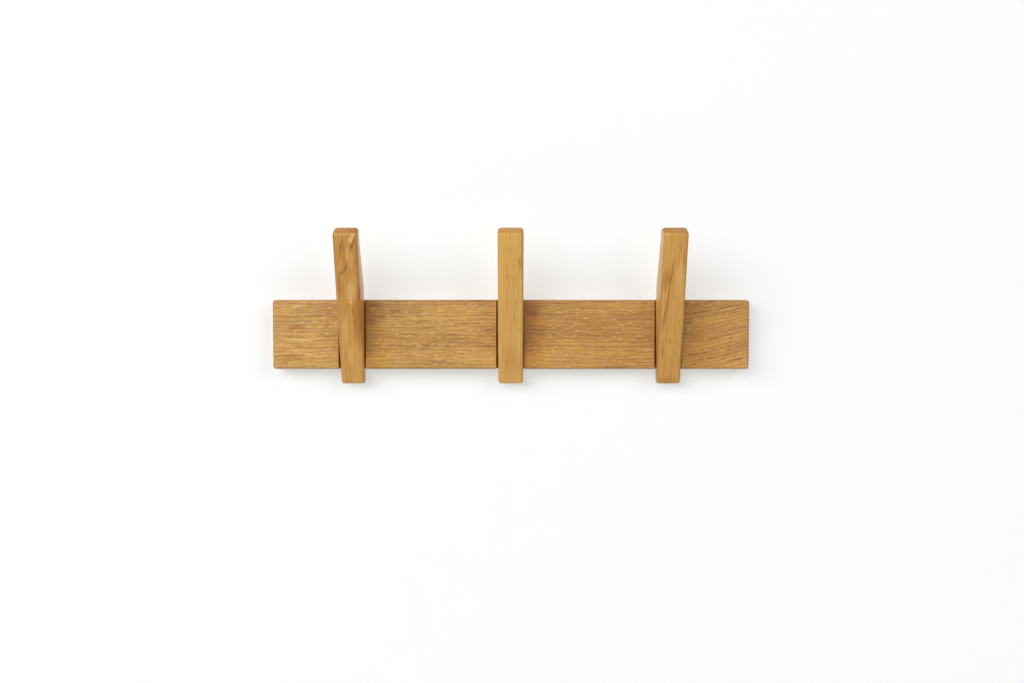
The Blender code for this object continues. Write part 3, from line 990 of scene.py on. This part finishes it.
def makeZincBloom():
    # cloudy spangle of plating with fine rubbed lines
    group, enter, leave = startGroup(
        "zinc bloom", [("Vector", "Vector"), ("Pale", "Color"), ("Dull", "Color")],
        [("Color", "Color"), ("Roughness", "Float"), ("Height", "Float")])
    mm = inMillimetres(group, enter["Vector"])
    cloud = noiseAt(group, mm, zincMake["cloud"], detail=3.0, rough=0.6)
    scratch = noiseAt(group, mm, zincMake["scratch"], detail=2.0)
    dull = spread(group, cloud, zincMake["cloudLevels"])
    feed(group, leave["Color"], blendColour(group, dull, enter["Pale"], enter["Dull"]))
    rough = calc(group, "MULTIPLY_ADD", cloud, zincMake["roughCloud"], zincMake["roughness"])
    rough = calc(group, "MULTIPLY_ADD", scratch, zincMake["roughScratch"], rough)
    feed(group, leave["Roughness"], rough)
    feed(group, leave["Height"], scratch)
    return group


zincBloom = makeZincBloom()


def steelMaterial(name, tones):
    material, tree, shader, coords = startMaterial(name)
    pale, dull = tones
    bloom = placeGroup(tree, zincBloom, {
        "Vector": coords.outputs["Object"], "Pale": tone(*pale), "Dull": tone(*dull)})
    feed(tree, shader.inputs["Base Color"], bloom["Color"])
    feed(tree, shader.inputs["Roughness"], bloom["Roughness"])
    shader.inputs["Metallic"].default_value = 1.0
    addRelief(tree, shader, bloom["Height"], zincMake["reliefStrength"], zincMake["reliefDepth"])
    return material


screwZinc = steelMaterial("zinc plated screw", zincMake["screwTones"])
plateZinc = steelMaterial("zinc plated plate", zincMake["plateTones"])
for node, shank in screwNodes.items():
    hangOnFrame(makeScrew(node, shank), node, screwZinc)
for side in plateSides:
    hangOnFrame(makePlate(side), "hanger_plate_" + side, plateZinc)
for room in screwRooms.values():
    bpy.data.objects.remove(room)
print("screws and plates made")


# wall, floor, light and camera

studio = {
    "wallGap": 0.0005,
    "wallWidth": 9.0,
    "wallHeight": 6.0,
    "floorZ": -1.65,
    "floorDepth": 1.6,
    "wallTone": (251, 253, 252),
    "floorTone": (246, 246, 244),
    "mottleCell": 0.5,
    "mottleShare": 0.3,
    "mottleDrop": 5,         # tones darker, in the mottled patches of the paint
    "paintRoughness": 0.95,
    "wallGlow": 0.44,        # share of plain white that the camera sees in the wall
    "ambient": 0.10,
    "boxReach": 5.0,         # from the rack to the soft boxes
    "backStrength": 1.2,
    "backAngle": 60.0,
    "backSide": 170.0,
    "backRise": 6.0,
    "backReach": 0.006,      # how far in front of the wall the back fill still arrives
}

# degrees from straight ahead, above level, across and up, as the rack sees each box
softBoxes = {
    "wide soft box": {"side": -38.0, "rise": 20.0, "wide": 58.0, "high": 30.0, "power": 238.0},
    "fill soft box": {"side": 40.0, "rise": 24.0, "wide": 30.0, "high": 40.0, "power": 95.0},
}


def lookingRay(tree, path):
    # 1 for what the camera sees, directly or in a reflection
    seen = calc(tree, "MAXIMUM", path.outputs["Is Camera Ray"], path.outputs["Is Glossy Ray"])
    return calc(tree, "MAXIMUM", seen, path.outputs["Is Transmission Ray"])


def mixShaders(tree, share, below, above):
    mix = addNode(tree, "MixShader")
    for socket, value in zip(mix.inputs, (share, below, above)):
        feed(tree, socket, value)
    return mix.outputs[0]


def paintedBoard(name, shade, glow):
    # matt paint that keeps shadows, clear from behind so that the back of the rack can be seen and lit
    material, tree, shader, coords = startMaterial(name)
    mottle = noiseAt(tree, coords.outputs["Object"], (studio["mottleCell"],) * 3, detail=2.0)
    darker = [value - studio["mottleDrop"] for value in shade]
    paint = blendColour(tree, calc(tree, "MULTIPLY", mottle, studio["mottleShare"]), tone(*shade),
                        tone(*darker))
    feed(tree, shader.inputs["Base Color"], paint)
    shader.inputs["Roughness"].default_value = studio["paintRoughness"]
    shader.inputs["Specular IOR Level"].default_value = 0.0
    path = addNode(tree, "LightPath")
    white = addNode(tree, "Emission")
    glowing = mixShaders(tree, calc(tree, "MULTIPLY", lookingRay(tree, path), glow),
                         shader.outputs[0], white.outputs[0])
    behind = addNode(tree, "NewGeometry")
    close = calc(tree, "LESS_THAN", path.outputs["Ray Length"], studio["backReach"])
    close = calc(tree, "MULTIPLY", close, path.outputs["Is Shadow Ray"])
    clear = calc(tree, "MAXIMUM", close, behind.outputs["Backfacing"])
    see = addNode(tree, "BsdfTransparent")
    feed(tree, tree.nodes["Material Output"].inputs["Surface"],
         mixShaders(tree, clear, glowing, see.outputs[0]))
    return material


def makeBoard(name, width, height, matrix, material):
    bm = bmesh.new()
    bmesh.ops.create_grid(bm, x_segments=1, y_segments=1, size=0.5)
    bmesh.ops.scale(bm, vec=(width, height, 1), verts=bm.verts)
    bmesh.ops.transform(bm, matrix=matrix, verts=bm.verts)
    mesh = bpy.data.meshes.new(name)
    bm.to_mesh(mesh)
    bm.free()
    board = bpy.data.objects.new(name, mesh)
    board.data.materials.append(material)
    scene.collection.objects.link(board)


wallPlace = Matrix.Translation((0, studio["wallGap"], studio["floorZ"] + studio["wallHeight"] / 2))
wallTurn = Matrix.Rotation(math.pi / 2, 4, "X")
makeBoard("wall", studio["wallWidth"], studio["wallHeight"], wallPlace @ wallTurn,
          paintedBoard("white wall paint", studio["wallTone"], studio["wallGlow"]))
floorPlace = Matrix.Translation((0, studio["wallGap"] - studio["floorDepth"] / 2, studio["floorZ"]))
makeBoard("floor", studio["wallWidth"], studio["floorDepth"], floorPlace,
          paintedBoard("pale floor", studio["floorTone"], 0.0))


def placeLamp(light, side, rise, reach):
    lamp = bpy.data.objects.new(light.name, light)
    lamp.rotation_euler = (math.radians(90 - rise), 0, math.radians(side))
    lamp.location = lamp.rotation_euler.to_matrix() @ Vector((0, 0, reach))
    scene.collection.objects.link(lamp)


def spanAt(reach, angle):
    return 2 * reach * math.tan(math.radians(angle / 2))


for name, box in softBoxes.items():
    light = bpy.data.lights.new(name, "AREA")
    light.shape = "RECTANGLE"
    light.size = spanAt(studio["boxReach"], box["wide"])
    light.size_y = spanAt(studio["boxReach"], box["high"])
    light.energy = box["power"]
    placeLamp(light, box["side"], box["rise"], studio["boxReach"])
backFill = bpy.data.lights.new("back fill", "SUN")
backFill.energy = studio["backStrength"]
backFill.angle = math.radians(studio["backAngle"])
placeLamp(backFill, studio["backSide"], studio["backRise"], studio["boxReach"])

world = bpy.data.worlds.new("white room")
world.use_nodes = True
scene.world = world
sky = world.node_tree
seen = lookingRay(sky, addNode(sky, "LightPath"))
lift = calc(sky, "MULTIPLY_ADD", seen, 1 - studio["ambient"], studio["ambient"])
feed(sky, sky.nodes["Background"].inputs["Strength"], lift)
sky.nodes["Background"].inputs["Color"].default_value = (1, 1, 1, 1)

photoView = {
    "place": (0.00356, -1.3098, 0.0590),
    "tilt": 87.07,           # degrees up from straight down
    "pan": 0.108,
    "lens": 45.0,
    "sensor": 36.0,
}
lensData = bpy.data.cameras.new("photo view")
lensData.lens = photoView["lens"]
lensData.sensor_width = photoView["sensor"]
camera = bpy.data.objects.new("photo view", lensData)
camera.location = photoView["place"]
camera.rotation_euler = (math.radians(photoView["tilt"]), 0, math.radians(photoView["pan"]))
scene.collection.objects.link(camera)
scene.camera = camera
scene.view_settings.view_transform = "Standard"
print("studio set")
